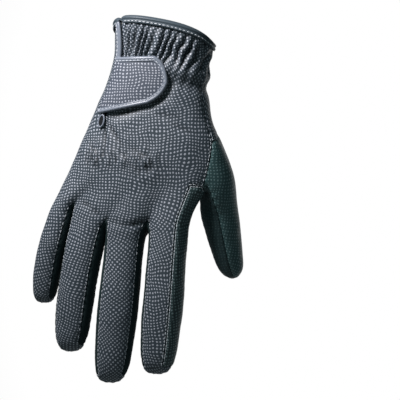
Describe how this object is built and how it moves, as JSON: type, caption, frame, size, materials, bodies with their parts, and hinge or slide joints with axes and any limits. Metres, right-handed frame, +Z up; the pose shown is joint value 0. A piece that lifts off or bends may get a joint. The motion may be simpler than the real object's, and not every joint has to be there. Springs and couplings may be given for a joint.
{
  "type": "riding glove",
  "caption": "Right-hand riding glove with a gathered wrist, a wrap-over wrist tab, finger gussets and an open wrist a hand goes in.",
  "frame": {"origin": "middle of the wrist opening, where a hand goes in and holds the glove", "axes": "+Z up out of the wrist opening, away from the fingertips; -Y out of the back of the hand; +X towards the thumb"},
  "size_m": [0.1283, 0.0591, 0.222],
  "materials": {
    "leather": "satin",
    "gusset_cloth": "matte",
    "binding": "satin"
  },
  "bodies": {
    "root": {"back_panel": "leather", "palm_panel": "leather", "index_side_panel": "leather", "thumb_panel": "leather", "closure_tab": "leather", "thumb_gusset": "gusset_cloth", "gusset_ring_little": "gusset_cloth", "gusset_middle_ring": "gusset_cloth", "gusset_index_middle": "gusset_cloth", "cuff_binding": "binding", "slit_binding": "binding", "tab_edging": "binding", "slit_loop": "binding"}
  },
  "joints": []
}
